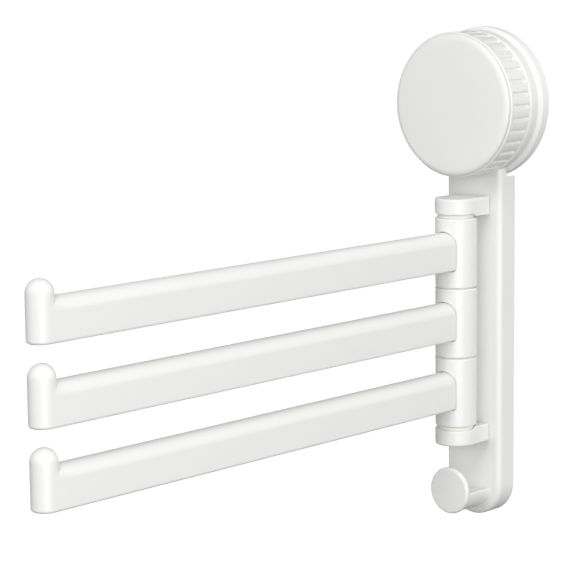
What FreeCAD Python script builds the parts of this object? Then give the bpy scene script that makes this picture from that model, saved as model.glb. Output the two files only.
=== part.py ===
import FreeCAD, Part
import math
import os

import Sketcher
from FreeCAD import Rotation, Vector

# Swing arm towel bar, in millimetres, +Z up.
# The origin is the centre of the suction cup on the wall plane. The wall is the plane Y = 0 and the room
# is on its -Y side. A rotary knob pulls the middle of a suction cup off the wall. Below the knob a long
# wall plate carries two ears, whose steel pin holds three swing arms, and a small hook at the bottom.

doc = FreeCAD.newDocument("swing_arm_towel_bar")
sheet = doc.addObject("Spreadsheet::Sheet", "Sizes")
rows_used = 0


class Size:
    """A length that carries its sheet formula, so that sums of sizes stay tied to the sheet."""

    def __init__(self, formula, value):
        self.formula = formula
        self.value = float(value)

    def __add__(self, other):
        other = as_size(other)
        return Size(f"({self.formula} + {other.formula})", self.value + other.value)

    def __sub__(self, other):
        other = as_size(other)
        return Size(f"({self.formula} - {other.formula})", self.value - other.value)

    def __mul__(self, other):
        other = as_size(other)
        return Size(f"({self.formula} * {other.formula})", self.value * other.value)

    def __truediv__(self, other):
        other = as_size(other)
        return Size(f"({self.formula} / {other.formula})", self.value / other.value)

    def __neg__(self):
        return self * -1

    def __rsub__(self, other):
        return as_size(other) - self

    __radd__ = __add__
    __rmul__ = __mul__

    def root(self):
        return Size(f"sqrt({self.formula})", math.sqrt(self.value))


def as_size(number):
    """Wraps a bare number, and leaves a size as it is."""
    return number if isinstance(number, Size) else Size(f"({number})", number)


def larger(one, other):
    one, other = as_size(one), as_size(other)
    return Size(f"max({one.formula}; {other.formula})", max(one.value, other.value))


def smaller(one, other):
    one, other = as_size(one), as_size(other)
    return Size(f"min({one.formula}; {other.formula})", min(one.value, other.value))


def size(alias, number, meaning):
    """Writes one driving dimension on the sheet and returns it for use in formulas."""
    global rows_used
    rows_used += 1
    sheet.set(f"A{rows_used}", meaning)
    sheet.set(f"B{rows_used}", str(number))
    sheet.setAlias(f"B{rows_used}", alias)
    return Size(f"Sizes.{alias}", number)


# ---- driving dimensions ----

# suction cup and its stud
cup_overhang = size("cup_overhang", 1.7, "cup's rim beyond the collar, on the radius")
cup_rim_width = size("cup_rim_width", 8.0, "rim, measured along a radius")
cup_rim_depth = size("cup_rim_depth", 8.5, "rim, from the wall to its front")
cup_rim_round = size("cup_rim_round", 2.4, "rounding of the rim's front corner")
cup_lip_round = size("cup_lip_round", 2.0, "rounding of the rim where it meets the wall")
cup_groove = size("cup_groove", 1.5, "shadow groove between the collar and the rim, along a radius")
cup_wall = size("cup_wall", 2.2, "thickness of the cup's diaphragm")
cup_lift = size("cup_lift", 3.2, "middle of the diaphragm above the wall when the knob is tight")
stud_radius = size("stud_radius", 5.0, "threaded stud, outside of the thread")
stud_flange = size("stud_flange", 2.4, "thickness of the stud's flange")
stud_shoulder = size("stud_shoulder", 2.0, "square neck, each side beyond the thread")
stud_rim = size("stud_rim", 3.0, "flange beyond the corners of the square neck")
stud_tail = size("stud_tail", 1.0, "stud beyond the front of the nut")
stud_room = size("stud_room", 1.7, "free space in front of the flange")
stud_clearance = size("stud_clearance", 0.08, "stud in the nut, on the radius")
neck_clearance = size("neck_clearance", 0.15, "square neck in its square hole, each side")

# round collar of the wall plate
collar_radius = size("collar_radius", 40.4, "outside of the collar")
collar_wall = size("collar_wall", 3.0, "thickness of the collar's skirt")
collar_web = size("collar_web", 2.8, "thickness of the collar's front wall")
collar_edge = size("collar_edge", 0.5, "bevel on the collar's corners")
boss_length = size("boss_length", 6.0, "length of the square hole that guides the stud")
boss_wall = size("boss_wall", 3.0, "wall round the corners of the square hole")
cup_gap = size("cup_gap", 0.5, "width of the shadow groove between the collar and the cup's rim")

# knob
knob_gap = size("knob_gap", 0.4, "running gap from the collar to the knob")
washer_thickness = size("washer_thickness", 1.2, "thrust washer under the knob's hub")
washer_gap = size("washer_gap", 0.05, "thrust washer to the hub")
grip_step = size("grip_step", 0.4, "fluted grip inside the collar's edge, on the radius")
grip_wall = size("grip_wall", 2.4, "wall of the grip")
grip_round = size("grip_round", 1.1, "rounding of the grip's front corner")
grip_web = size("grip_web", 2.4, "thickness of the grip's front web")
hub_wall = size("hub_wall", 3.0, "hub round the corners of the nut")
hub_floor = size("hub_floor", 3.0, "hub between the nut and the thrust washer")
hub_clearance = size("hub_clearance", 0.4, "stud through the hub, on the radius")
nut_wall = size("nut_wall", 3.5, "nut, from the thread to its flats")
nut_height = size("nut_height", 9.0, "height of the nut")
nut_clearance = size("nut_clearance", 0.05, "nut in its pocket, each side")
flute_count = size("flute_count", 36, "flutes round the grip")
flute_width = size("flute_width", 2.0, "width of a flute")
flute_depth = size("flute_depth", 0.9, "depth of a flute")
flute_front = size("flute_front", 1.6, "plain band in front of the flutes")
flute_back = size("flute_back", 0.5, "plain band behind the flutes")
cap_room = size("cap_room", 3.55, "space between the nut and the grip's front rim")
cap_gap = size("cap_gap", 0.35, "seam between the grip and the cap")
cap_inset = size("cap_inset", 1.0, "cap's radius, less than the grip's")
cap_thickness = size("cap_thickness", 2.9, "cap at its middle, over the seam")
cap_round = size("cap_round", 2.0, "rounding of the cap's rim")
cap_crown = size("cap_crown", 0.6, "crown of the cap's face")
spigot_length = size("spigot_length", 2.4, "ring behind the cap that snaps into the grip")
spigot_wall = size("spigot_wall", 1.8, "thickness of that ring")
snap_gap = size("snap_gap", 0.1, "ring to the inside of the grip")

# long wall plate
plate_width = size("plate_width", 37.6, "width of the plate")
plate_step = size("plate_step", 1.5, "plate's face behind the collar's face")
plate_wall = size("plate_wall", 2.4, "wall of the hollow plate")
plate_neck = size("plate_neck", 6.3, "thickness of the plate where it runs up behind the knob")
plate_round = size("plate_round", 3.0, "rounding of the plate's front edges")
plate_relief = size("plate_relief", 2.5, "gap from the cup's rim to the plate's side walls")
plate_tail = size("plate_tail", 17.55, "plate's lowest point below the middle of the hook")
rib_wall = size("rib_wall", 1.6, "stiffening ribs inside the plate")
rib_setback = size("rib_setback", 1.0, "ribs end this far off the wall")
rib_count = size("rib_count", 6, "ribs behind the swing arms")

# hinge
ear_drop = size("ear_drop", 11.06, "collar's edge down to the upper ear")
ear_height = size("ear_height", 8.9, "thickness of an ear")
ear_gap = size("ear_gap", 1.85, "ear to the nearest barrel, filled by a washer")
ear_lip = size("ear_lip", 1.3, "step of the ear behind the barrel's end")
ear_lip_gap = size("ear_lip_gap", 0.5, "that step to the barrel's side")
ear_round = size("ear_round", 1.1, "rounding of the ears' edges")
barrel_radius = size("barrel_radius", 11.8, "outside of a hinge barrel")
barrel_clearance = size("barrel_clearance", 3.9, "barrel to the face of the plate")
barrel_gap = size("barrel_gap", 0.5, "barrel to barrel, filled by a slip washer")
barrel_round = size("barrel_round", 0.8, "rounding of the barrels' ends")
pin_radius = size("pin_radius", 4.0, "hinge pin")
pin_clearance = size("pin_clearance", 0.06, "pin in the barrels, on the radius")
pin_seat = size("pin_seat", 0.02, "pin in the ears, on the radius")
pin_head = size("pin_head", 2.2, "radius of the pin's head beyond its shank")
pin_head_height = size("pin_head_height", 2.2, "height of the pin's head")
pin_head_gap = size("pin_head_gap", 0.2, "pin's head and plug in their recess, on the radius")
pin_reach = size("pin_reach", 6.0, "depth of the blind hole in the upper ear")
pin_end_gap = size("pin_end_gap", 0.3, "pin's end to the bottom of that hole")
plug_height = size("plug_height", 1.6, "plug that closes the recess under the lower ear")
washer_width = size("washer_width", 6.3, "hinge washers, from bore to rim")
washer_play = size("washer_play", 0.1, "play beside each hinge washer")

# swing arms
arm_rise = size("arm_rise", 10.0, "arm's underside above its barrel's foot")
arm_height = size("arm_height", 21.4, "height of an arm")
arm_drop = size("arm_drop", 7.83, "arm's top below its barrel's top")
arm_width = size("arm_width", 13.7, "width of an arm")
arm_wall = size("arm_wall", 2.0, "wall of the hollow arm")
arm_edge = size("arm_edge", 1.6, "rounding of the arm's lower edges")
arm_reach = size("arm_reach", 306.75, "hinge axis to the axis of the end post")
post_rise = size("post_rise", 8.66, "end post above the arm's top")
socket_depth = size("socket_depth", 6.0, "socket for the arm, into the barrel")
socket_gap = size("socket_gap", 0.12, "arm in its socket, each side")
tenon_length = size("tenon_length", 22.0, "tenon of the barrel inside the arm")
tenon_gap = size("tenon_gap", 0.12, "tenons inside the arm, each side")
tip_length = size("tip_length", 12.0, "end piece, from its post's axis to its seam")
tip_plug = size("tip_plug", 16.0, "plug of the end piece inside the arm")

# hook
hook_gap = size("hook_gap", 13.5, "lower ear down to the hook's disc")
hook_radius = size("hook_radius", 13.2, "hook's front disc")
hook_reach = size("hook_reach", 22.5, "plate's face to the front of the disc")
hook_disc = size("hook_disc", 3.0, "thickness of the disc")
hook_round = size("hook_round", 1.5, "rounding of the disc's front edge")
hook_inset = size("hook_inset", 0.5, "half-round shelf, less than the disc on the radius")
hook_dip = size("hook_dip", 2.4, "hollow in the top of the shelf")

# screws that hold the ears and the hook from behind
screw_radius = size("screw_radius", 1.5, "shank of a self-tapping screw")
screw_hole = size("screw_hole", 0.25, "screw through the plate, on the radius")
screw_seat = size("screw_seat", 0.02, "screw in its pilot hole, on the radius")
screw_head = size("screw_head", 1.4, "radius of the head beyond the shank")
screw_head_height = size("screw_head_height", 1.8, "height of the head")
screw_head_round = size("screw_head_round", 1.2, "rounding of the head")
screw_bite = size("screw_bite", 8.5, "length of screw in the ear or the hook")
pilot_spare = size("pilot_spare", 0.5, "pilot hole beyond the screw's point")
screw_spread = size("screw_spread", 7.2, "ear screws, each side of the middle")
recess_width = size("recess_width", 0.7, "arms of the cross recess in a screw's head")
recess_sink = size("recess_sink", 1.2, "depth of that recess")

doc.recompute()

# ---- places worked out from the driving dimensions ----
# A name ending in _out is a distance from the wall, and one ending in _down is a distance below the origin.

ROOT_TWO = math.sqrt(2)
HEX_CORNER = 2 / math.sqrt(3)
OVERCUT = 1

cup_radius = collar_radius + cup_overhang
flange_back_out = cup_lift + cup_wall
flange_front_out = flange_back_out + stud_flange
neck_half = stud_radius + stud_shoulder
flange_radius = neck_half * ROOT_TWO + stud_rim
boss_out = flange_front_out + stud_room
collar_out = boss_out + boss_length
collar_back_out = cup_rim_depth + cup_gap
boss_radius = (neck_half + neck_clearance) * ROOT_TWO + boss_wall

grip_radius = collar_radius - grip_step
nut_half = stud_radius + nut_wall
hub_radius = (nut_half + nut_clearance) * HEX_CORNER + hub_wall
hub_back_out = collar_out + washer_thickness + washer_gap
nut_back_out = hub_back_out + hub_floor
nut_front_out = nut_back_out + nut_height
grip_back_out = collar_out + knob_gap
grip_front_out = nut_front_out + cap_room
web_front_out = grip_front_out - spigot_length - cap_gap
cap_back_out = grip_front_out + cap_gap
cap_radius = grip_radius - cap_inset

plate_out = collar_out - plate_step
plate_half = plate_width / 2
relief_radius = cup_radius + plate_relief
seat_radius = collar_radius - cup_groove
hinge_out = plate_out + barrel_clearance + barrel_radius
pitch = arm_rise + arm_height + arm_drop
ARM_COUNT = 3
upper_ear_down = collar_radius + ear_drop + ear_height
stack_down = upper_ear_down + ear_gap
stack_end_down = stack_down + pitch * ARM_COUNT
lower_ear_down = stack_end_down + ear_gap
lower_ear_end_down = lower_ear_down + ear_height
hook_down = lower_ear_end_down + hook_gap + hook_radius
plate_end_down = hook_down + plate_tail

arm_half = arm_width / 2
arm_top = arm_rise + arm_height
recess_depth = pin_head_height + plug_height
recess_radius = pin_radius + pin_head + pin_head_gap
shelf_radius = hook_radius - hook_inset
screw_seat_out = plate_out - plate_wall


# ---- drawing helpers ----


def bind(feature, name, amount):
    """Ties a property to the sheet."""
    feature.setExpression(name, as_size(amount).formula)


def start_body(label):
    body = doc.addObject("PartDesign::Body", label)
    body.Label = label
    return body


def place(item, x=0, y=0, z=0):
    """Ties a sub-part's place to the sheet."""
    for name, amount in (("x", x), ("y", y), ("z", z)):
        bind(item, f"Placement.Base.{name}", amount)


def origin_of(body, role):
    return next(item for item in body.Origin.OriginFeatures if item.Role == role)


def start_sketch(body, name, role, lift=0):
    """A sketch on one of the body's own planes. The XZ plane faces the room, so it is lifted outwards."""
    sketch = body.newObject("Sketcher::SketchObject", name)
    sketch.AttachmentSupport = [(origin_of(body, role), "")]
    sketch.MapMode = "FlatFace"
    bind(sketch, "AttachmentOffset.Base.z", lift)
    return sketch


def pin_point(sketch, geometry, end, x, y):
    """Ties a point of the sketch to the sheet by its two coordinates."""
    for kind, amount in (("DistanceX", as_size(x)), ("DistanceY", as_size(y))):
        rule = Sketcher.Constraint(kind, -1, 1, geometry, end, amount.value)
        bind(sketch, f"Constraints[{sketch.addConstraint(rule)}]", amount)


def flat(x, y):
    return Vector(as_size(x).value, as_size(y).value, 0)


def turn_of(centre, point):
    return math.atan2(point.y - centre.y, point.x - centre.x)


def draw(sketch, *corners):
    """Draws a closed outline. A corner is (x, y). An arc leaves one that is (x, y, through_x, through_y)."""
    ends = []
    for place_in_list, corner in enumerate(corners):
        start = flat(*corner[:2])
        finish = flat(*corners[(place_in_list + 1) % len(corners)][:2])
        if len(corner) == 2:
            geometry = sketch.addGeometry(Part.LineSegment(start, finish), False)
            ends.append((geometry, 1, 2))
            continue
        middle = flat(*corner[2:])
        circle = Part.Circle(start, middle, finish)
        forward = (middle - start).cross(finish - middle).z > 0
        first, last = (start, finish) if forward else (finish, start)
        opening, closing = turn_of(circle.Center, first), turn_of(circle.Center, last)
        if closing < opening:
            closing += 2 * math.pi
        upright = Part.Circle(circle.Center, Vector(0, 0, 1), circle.Radius)
        geometry = sketch.addGeometry(Part.ArcOfCircle(upright, opening, closing), False)
        ends.append((geometry, 1, 2) if forward else (geometry, 2, 1))
        point = sketch.addGeometry(Part.Point(middle), True)
        pin_point(sketch, point, 1, *corner[2:])
        sketch.addConstraint(Sketcher.Constraint("PointOnObject", point, 1, geometry))
    for place_in_list, (geometry, start, finish) in enumerate(ends):
        following, following_start, _ = ends[(place_in_list + 1) % len(ends)]
        sketch.addConstraint(Sketcher.Constraint("Coincident", geometry, finish, following, following_start))
        pin_point(sketch, geometry, start, *corners[place_in_list][:2])


def draw_circle(sketch, x, y, radius):
    circle = Part.Circle(flat(x, y), Vector(0, 0, 1), as_size(radius).value)
    geometry = sketch.addGeometry(circle, False)
    rule = Sketcher.Constraint("Radius", geometry, as_size(radius).value)
    bind(sketch, f"Constraints[{sketch.addConstraint(rule)}]", radius)
    pin_point(sketch, geometry, 3, x, y)


def draw_square(sketch, half):
    draw(sketch, (half, half), (-half, half), (-half, -half), (half, -half))


def corner_arc(x, y, from_x, from_y, to_x, to_y, radius):
    """The start and middle of a quarter round at the corner (x, y). The signs say where its two ends lie."""
    start_x, start_y = x + from_x * radius, y + from_y * radius
    slack = radius * (1 - 1 / ROOT_TWO)
    return (start_x, start_y, x + (from_x + to_x) * slack, y + (from_y + to_y) * slack)


def pad(body, sketch, length):
    feature = body.newObject("PartDesign::Pad", sketch.Label + "_pad")
    feature.Profile = sketch
    bind(feature, "Length", length)
    return feature


def must_cut(feature):
    """Stops the build where a cut takes nothing away."""
    doc.recompute()
    if feature.Shape.Volume > feature.BaseFeature.Shape.Volume - 1e-3:
        raise RuntimeError(f"{feature.Label} cuts nothing")
    return feature


def pocket(body, sketch, length, along_normal=False):
    feature = body.newObject("PartDesign::Pocket", sketch.Label + "_pocket")
    feature.Profile = sketch
    feature.Reversed = along_normal
    bind(feature, "Length", length)
    return must_cut(feature)


def revolve(body, sketch):
    feature = body.newObject("PartDesign::Revolution", sketch.Label + "_turned")
    feature.Profile = sketch
    feature.ReferenceAxis = (sketch, ["V_Axis"])
    feature.Angle = 360
    return feature


def groove(body, sketch):
    feature = body.newObject("PartDesign::Groove", sketch.Label + "_groove")
    feature.Profile = sketch
    feature.ReferenceAxis = (sketch, ["V_Axis"])
    feature.Angle = 360
    return must_cut(feature)


def round_edges(body, feature, radius, wanted, name):
    """Rounds the edges that the test picks out."""
    doc.recompute()
    edges = [f"Edge{i + 1}" for i, edge in enumerate(feature.Shape.Edges) if wanted(edge)]
    if not edges:
        raise RuntimeError(f"{name} finds no edge")
    fillet = body.newObject("PartDesign::Fillet", name)
    fillet.Base = (feature, edges)
    bind(fillet, "Radius", radius)
    return fillet


def level(edge, axis, amount):
    """True for an edge that lies wholly at one height along an axis."""
    box = edge.BoundBox
    low, high = getattr(box, axis + "Min"), getattr(box, axis + "Max")
    target = as_size(amount).value
    return abs(low - target) < 1e-4 and abs(high - target) < 1e-4


def group(label, bodies):
    """Identical small pieces that share a node, each as a solid of its own."""
    compound = doc.addObject("Part::Compound", label)
    compound.Label = label
    compound.Links = bodies
    return compound


# ---- wall plate: round collar and long hollow bar in one moulding ----


def make_wall_plate():
    body = start_body("wall_plate")

    bar = start_sketch(body, "bar", "XZ_Plane")
    end_down = plate_end_down - plate_half
    draw(
        bar,
        (plate_half, -flange_radius),
        (-plate_half, -flange_radius),
        (-plate_half, -end_down, 0, -plate_end_down),
        (plate_half, -end_down),
    )
    bar_pad = pad(body, bar, plate_out)

    def front_edge(edge):
        return level(edge, "Y", -plate_out) and edge.BoundBox.ZMin < -flange_radius.value - 1

    round_edges(body, bar_pad, smaller(plate_round, plate_neck / 2), front_edge, "bar_rounding")

    collar = start_sketch(body, "collar", "XY_Plane")
    web_back_out = collar_out - collar_web
    draw(
        collar,
        (0, -collar_out),
        (collar_radius - collar_edge, -collar_out),
        (collar_radius, collar_edge - collar_out),
        (collar_radius, -collar_back_out),
        (collar_radius - collar_wall, -collar_back_out),
        (collar_radius - collar_wall, -web_back_out),
        (boss_radius, -web_back_out),
        (boss_radius, -boss_out),
        (0, -boss_out),
    )
    revolve(body, collar)

    room = start_sketch(body, "cup_room", "XY_Plane")
    neck_back_out = plate_out - plate_neck
    draw(
        room,
        (0, OVERCUT),
        (relief_radius, OVERCUT),
        (relief_radius, -neck_back_out),
        (cup_radius + cup_gap, -neck_back_out),
        (cup_radius + cup_gap, -collar_back_out),
        (0, -collar_back_out),
    )
    groove(body, room)

    hollow = start_sketch(body, "hollow", "XZ_Plane")
    hollow_half = plate_half - plate_wall
    draw(
        hollow,
        (hollow_half, -relief_radius - plate_wall),
        (-hollow_half, -relief_radius - plate_wall),
        (-hollow_half, -end_down, 0, plate_wall - plate_end_down),
        (hollow_half, -end_down),
    )
    pocket(body, hollow, screw_seat_out, along_normal=True)

    rib = start_sketch(body, "rib", "XZ_Plane", rib_setback)
    rib_spacing = pitch * ARM_COUNT / rib_count
    rib_down = stack_down + rib_spacing / 2
    draw(
        rib,
        (hollow_half + plate_wall / 2, -rib_down),
        (-hollow_half - plate_wall / 2, -rib_down),
        (-hollow_half - plate_wall / 2, -rib_down - rib_wall),
        (hollow_half + plate_wall / 2, -rib_down - rib_wall),
    )
    rib_pad = pad(body, rib, plate_out - plate_wall / 2 - rib_setback)
    ribs = body.newObject("PartDesign::LinearPattern", "ribs")
    ribs.Originals = [rib_pad]
    ribs.Direction = (origin_of(body, "Z_Axis"), [""])
    ribs.Reversed = True
    bind(ribs, "Length", rib_spacing * (rib_count - 1))
    bind(ribs, "Occurrences", rib_count)
    body.Tip = ribs
    doc.recompute()

    neck_hole = start_sketch(body, "neck_hole", "XZ_Plane", boss_out - OVERCUT)
    draw_square(neck_hole, neck_half + neck_clearance)
    pocket(body, neck_hole, boss_length + 2 * OVERCUT, along_normal=True)

    holes = start_sketch(body, "screw_holes", "XZ_Plane", screw_seat_out - OVERCUT)
    for x, down in screw_places():
        draw_circle(holes, x, -down, screw_radius + screw_hole)
    pocket(body, holes, plate_wall + 2 * OVERCUT, along_normal=True)
    return body


def screw_places():
    """Across and down, for the two screws of each ear and the one of the hook."""
    ear_middles = (upper_ear_down - ear_height / 2, lower_ear_down + ear_height / 2)
    ears = [(side * screw_spread, down) for down in ear_middles for side in (-1, 1)]
    return ears + [(0, hook_down + (shelf_radius + hook_dip) / 2)]


# ---- suction cup, stud and knob ----


def make_suction_cup():
    body = start_body("suction_cup")
    profile = start_sketch(body, "cup_profile", "XY_Plane")
    rim_inside = cup_radius - cup_rim_width
    draw(
        profile,
        (0, -cup_lift),
        (flange_radius, -cup_lift),
        (rim_inside, 0),
        corner_arc(cup_radius, 0, -1, 0, 0, -1, cup_lip_round),
        (cup_radius, -cup_lip_round),
        corner_arc(cup_radius, -cup_rim_depth, 0, 1, -1, 0, cup_rim_round),
        (cup_radius - cup_rim_round, -cup_rim_depth),
        (seat_radius, -cup_rim_depth),
        (seat_radius, -collar_back_out),
        (rim_inside, -collar_back_out),
        (rim_inside, -cup_wall),
        (flange_radius, -flange_back_out),
        (0, -flange_back_out),
    )
    revolve(body, profile)
    return body


def make_cup_stud():
    body = start_body("cup_stud")
    profile = start_sketch(body, "stud_profile", "XY_Plane")
    tail_out = nut_front_out + stud_tail
    draw(
        profile,
        (0, -flange_back_out),
        (flange_radius, -flange_back_out),
        (flange_radius, -flange_front_out),
        (stud_radius, -flange_front_out),
        (stud_radius, stud_tail - tail_out),
        (stud_radius - stud_tail, -tail_out),
        (0, -tail_out),
    )
    revolve(body, profile)
    neck = start_sketch(body, "square_neck", "XZ_Plane", flange_back_out)
    draw_square(neck, neck_half)
    pad(body, neck, collar_out - flange_back_out - neck_clearance)
    return body


def make_thrust_washer():
    body = start_body("thrust_washer")
    profile = start_sketch(body, "washer_profile", "XY_Plane")
    bore = stud_radius + hub_clearance
    draw(
        profile,
        (bore, -collar_out),
        (hub_radius, -collar_out),
        (hub_radius, -collar_out - washer_thickness),
        (bore, -collar_out - washer_thickness),
    )
    revolve(body, profile)
    return body


def hexagon(sketch, half_flats):
    corner = half_flats * HEX_CORNER
    turns = [math.radians(60 * i) for i in range(6)]
    draw(sketch, *[(corner * round(math.cos(a), 12), corner * round(math.sin(a), 12)) for a in turns])


def make_knob_grip():
    body = start_body("knob_grip")
    profile = start_sketch(body, "grip_profile", "XY_Plane")
    bore = stud_radius + hub_clearance
    inside = grip_radius - grip_wall
    web_back_out = web_front_out - grip_web
    round_start = grip_radius - grip_round
    draw(
        profile,
        (bore, -hub_back_out),
        (hub_radius, -hub_back_out),
        (hub_radius, -web_back_out),
        (inside, -web_back_out),
        (inside, -grip_back_out),
        (grip_radius, -grip_back_out),
        corner_arc(grip_radius, -grip_front_out, 0, 1, -1, 0, grip_round),
        (round_start, -grip_front_out),
        (inside, -grip_front_out),
        (inside, -web_front_out),
        (bore, -web_front_out),
    )
    revolve(body, profile)

    nut_seat = start_sketch(body, "nut_seat", "XZ_Plane", nut_back_out)
    hexagon(nut_seat, nut_half + nut_clearance)
    pocket(body, nut_seat, web_front_out - nut_back_out + OVERCUT, along_normal=True)

    flute = start_sketch(body, "flute", "YZ_Plane", grip_radius - flute_depth)
    half = flute_width / 2
    back = -grip_back_out - flute_back - half
    front = flute_front + half - grip_front_out
    draw(
        flute,
        (front, half, front - half, 0),
        (front, -half),
        (back, -half, back + half, 0),
        (back, half),
    )
    first = pocket(body, flute, flute_depth + OVERCUT, along_normal=True)
    flutes = body.newObject("PartDesign::PolarPattern", "flutes")
    flutes.Originals = [first]
    flutes.Axis = (origin_of(body, "Y_Axis"), [""])
    flutes.Angle = 360
    bind(flutes, "Occurrences", flute_count)
    body.Tip = flutes
    must_cut(flutes)
    return body


def make_knob_nut():
    body = start_body("knob_nut")
    outline = start_sketch(body, "nut_outline", "XZ_Plane", nut_back_out)
    hexagon(outline, nut_half)
    draw_circle(outline, 0, 0, stud_radius + stud_clearance)
    pad(body, outline, nut_height)
    return body


def make_knob_cap():
    body = start_body("knob_cap")
    profile = start_sketch(body, "cap_profile", "XY_Plane")
    front_out = cap_back_out + cap_thickness
    face_out = front_out - cap_crown
    face_radius = cap_radius - cap_round
    spigot_outside = grip_radius - grip_wall - snap_gap
    spigot_inside = spigot_outside - spigot_wall
    spigot_out = cap_back_out - spigot_length
    draw(
        profile,
        (0, -cap_back_out),
        (spigot_inside, -cap_back_out),
        (spigot_inside, -spigot_out),
        (spigot_outside, -spigot_out),
        (spigot_outside, -cap_back_out),
        (cap_radius, -cap_back_out),
        corner_arc(cap_radius, -face_out, 0, 1, -1, 0, cap_round),
        (face_radius, -face_out, face_radius / 2, -face_out - cap_crown * 0.75),
        (0, -front_out),
    )
    revolve(body, profile)
    return body


# ---- hinge: two ears, pin, plug and washers ----


def make_ear(label, upper):
    """An ear about the hinge axis. Its barrel side is at z = 0, and it is turned over for the lower one."""
    body = start_body(label)
    foot = hinge_out - plate_out
    side = barrel_radius
    tab = start_sketch(body, label + "_tab", "XY_Plane")
    draw(tab, (side, foot), (-side, foot), (-side, 0, 0, -side), (side, 0))
    tab_pad = pad(body, tab, ear_height)

    def far_edge(edge):
        return level(edge, "Z", ear_height) and not level(edge, "Y", foot)

    radius = smaller(ear_round, ear_height / 3)
    rounded = round_edges(body, tab_pad, radius, far_edge, label + "_far_rounding")

    def near_edge(edge):
        return level(edge, "Z", 0) and not level(edge, "Y", foot)

    round_edges(body, rounded, radius, near_edge, label + "_near_rounding")

    lip = start_sketch(body, label + "_lip", "XY_Plane", -ear_lip)
    sweep = side + ear_lip_gap
    lip_start = (sweep * sweep - side * side).root()
    draw(lip, (side, lip_start), (side, foot), (-side, foot), (-side, lip_start, 0, sweep))
    pad(body, lip, ear_lip + radius)

    pilots = start_sketch(body, label + "_pilots", "XZ_Plane", -foot)
    for direction in (-1, 1):
        draw_circle(pilots, direction * screw_spread, ear_height / 2, screw_radius + screw_seat)
    pocket(body, pilots, screw_bite + pilot_spare, along_normal=True)

    bore = start_sketch(body, label + "_bore", "XY_Plane")
    draw_circle(bore, 0, 0, pin_radius + pin_seat)
    pocket(body, bore, pin_reach if upper else ear_height, along_normal=True)
    if not upper:
        recess = start_sketch(body, label + "_recess", "XY_Plane", ear_height - recess_depth)
        draw_circle(recess, 0, 0, recess_radius)
        pocket(body, recess, recess_depth, along_normal=True)
        body.Placement.Rotation = Rotation(Vector(0, 1, 0), 180)
    place(body, y=-hinge_out, z=-upper_ear_down if upper else -lower_ear_down)
    return body


def make_hinge_pin():
    """The pin stands on its head, with the underside of the head at z = 0 and its top in the upper ear."""
    body = start_body("hinge_pin")
    profile = start_sketch(body, "pin_profile", "XZ_Plane")
    head_down = lower_ear_end_down - plug_height
    top = head_down - upper_ear_down + pin_reach - pin_end_gap
    bevel = pin_radius / 8
    draw(
        profile,
        (0, 0),
        (pin_radius + pin_head - bevel, 0),
        (pin_radius + pin_head, bevel),
        (pin_radius + pin_head, pin_head_height),
        (pin_radius, pin_head_height),
        (pin_radius, top - bevel),
        (pin_radius - bevel, top),
        (0, top),
    )
    revolve(body, profile)
    place(body, y=-hinge_out, z=-head_down)
    return body


def make_pin_plug():
    body = start_body("pin_plug")
    outline = start_sketch(body, "plug_outline", "XY_Plane")
    draw_circle(outline, 0, 0, recess_radius - pin_seat)
    plug_pad = pad(body, outline, plug_height)
    round_edges(body, plug_pad, plug_height / 4, lambda edge: level(edge, "Z", 0), "plug_rounding")
    place(body, y=-hinge_out, z=-lower_ear_end_down)
    return body


def make_washer(name, thickness, down):
    """A flat washer round the hinge pin, with its top face at the given depth."""
    body = start_body(name)
    outline = start_sketch(body, name + "_outline", "XY_Plane")
    bore = pin_radius + pin_clearance
    draw_circle(outline, 0, 0, bore + washer_width)
    draw_circle(outline, 0, 0, bore)
    pad(body, outline, thickness)
    place(body, y=-hinge_out, z=-down - thickness)
    return body


def make_washers():
    ear_thickness = ear_gap + barrel_gap / 2 - washer_play
    slip_thickness = barrel_gap - washer_play
    ears = [
        make_washer("upper_ear_washer", ear_thickness, upper_ear_down),
        make_washer("lower_ear_washer", ear_thickness, lower_ear_down - ear_thickness),
    ]
    seam_down = stack_down + washer_play - barrel_gap / 2
    slips = [
        make_washer(f"slip_washer_{i}", slip_thickness, seam_down + pitch * i)
        for i in range(1, ARM_COUNT)
    ]
    return [group("ear_washers", ears), group("slip_washers", slips)]


# ---- swing arms ----


def arm_outline(sketch, inset):
    """The arm's cross-section, drawn in by an inset: round on top, flat below with rounded corners."""
    half = arm_half - inset
    foot = arm_rise + inset
    top = arm_top - inset
    corner = larger(arm_edge - inset, 0.3)
    draw(
        sketch,
        (half, top - half, 0, top),
        (-half, top - half),
        corner_arc(-half, foot, 0, 1, 1, 0, corner),
        (corner - half, foot),
        corner_arc(half, foot, -1, 0, 0, 1, corner),
        (half, foot + corner),
    )


def make_knuckle(name, cell_down):
    """Hinge barrel with a socket for the arm and a tenon inside the socket."""
    body = start_body(name)
    profile = start_sketch(body, name + "_profile", "XZ_Plane")
    bore = pin_radius + pin_clearance
    foot = barrel_gap / 2
    top = pitch - barrel_gap / 2
    draw(
        profile,
        (bore, foot),
        corner_arc(barrel_radius, foot, -1, 0, 0, 1, barrel_round),
        (barrel_radius, foot + barrel_round),
        corner_arc(barrel_radius, top, 0, -1, -1, 0, barrel_round),
        (barrel_radius - barrel_round, top),
        (bore, top),
    )
    revolve(body, profile)

    socket = start_sketch(body, name + "_socket", "XZ_Plane", barrel_radius - socket_depth)
    arm_outline(socket, -socket_gap)
    pocket(body, socket, socket_depth + OVERCUT, along_normal=True)

    tenon = start_sketch(body, name + "_tenon", "XZ_Plane", barrel_radius - socket_depth)
    arm_outline(tenon, arm_wall + tenon_gap)
    pad(body, tenon, socket_depth + tenon_length)
    place(body, y=-hinge_out, z=-cell_down)
    return body


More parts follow.
